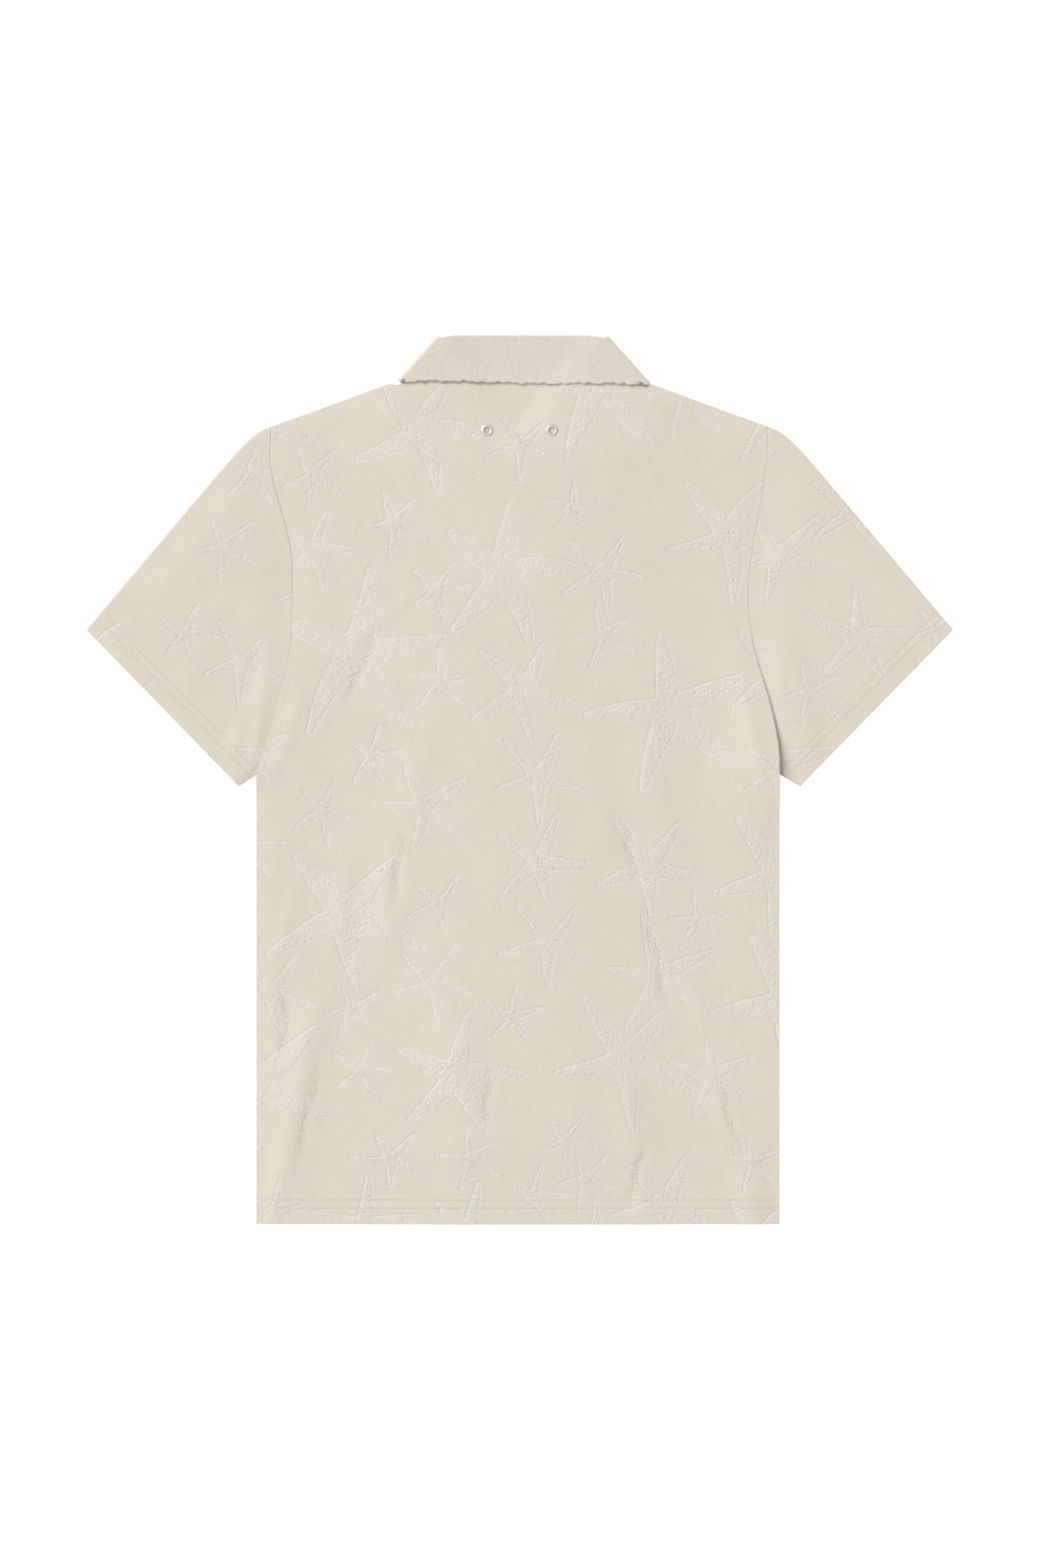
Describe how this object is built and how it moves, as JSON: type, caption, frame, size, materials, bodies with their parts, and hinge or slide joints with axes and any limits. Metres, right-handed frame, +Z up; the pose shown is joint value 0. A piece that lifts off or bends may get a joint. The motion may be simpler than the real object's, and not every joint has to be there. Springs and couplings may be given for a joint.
{
  "type": "terry shirt",
  "caption": "Short-sleeved terry shirt with a turned-down collar, buttoned front and eyelets below the back neck, laid flat on its front.",
  "frame": {"origin": "middle of the bounding box in X and Y, on the surface the shirt lies on", "axes": "+X to the wearer's right, +Y from hem to collar, +Z up, away from the surface, out of the back"},
  "size_m": [0.7696, 0.7904, 0.0093],
  "materials": {
    "terry_cloth": "cut-pile terry, cream, matt",
    "collar_cloth": "looped terry, cream, matt",
    "button": "cream, satin",
    "eyelet": "polished"
  },
  "bodies": {
    "root": {"back": "terry_cloth", "front_left": "terry_cloth", "front_right": "terry_cloth", "sleeve_left": "terry_cloth", "sleeve_right": "terry_cloth", "collar": "collar_cloth", "button_1": "button", "button_2": "button", "button_3": "button", "button_4": "button", "button_5": "button", "button_6": "button", "eyelet_left": "eyelet", "eyelet_right": "eyelet"}
  },
  "joints": []
}
